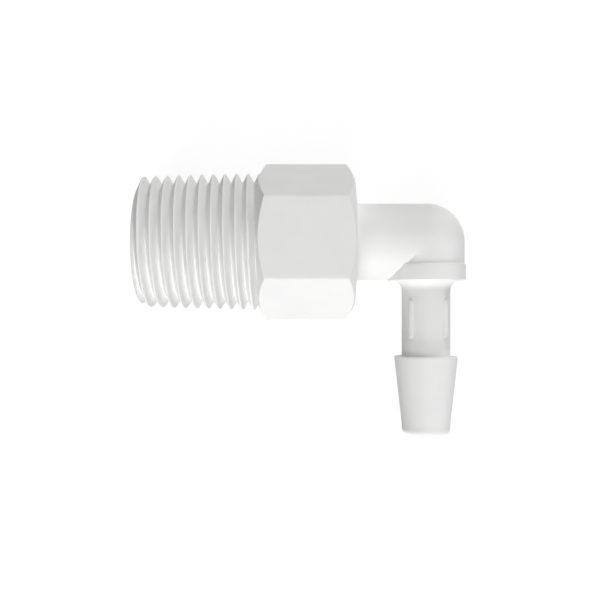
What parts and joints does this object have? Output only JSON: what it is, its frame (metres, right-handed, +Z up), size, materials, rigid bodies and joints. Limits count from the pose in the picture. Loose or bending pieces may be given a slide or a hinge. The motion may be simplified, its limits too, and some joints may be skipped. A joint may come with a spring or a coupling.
{
  "type": "barbed elbow fitting",
  "caption": "Moulded right-angle fitting that joins a taper pipe thread with a wrench hex to a ribbed, barbed hose end, with a passage bored through both.",
  "frame": {"origin": "centre of the hex flat that the fitting rests on", "axes": "-X out of the threaded end along its axis, -Y out of the hose barb along its axis, +Z up from the flat"},
  "size_m": [0.0515, 0.0428, 0.0215],
  "materials": {
    "white_plastic": "satin"
  },
  "bodies": {
    "root": {"barbed_elbow": "white_plastic"}
  },
  "joints": []
}
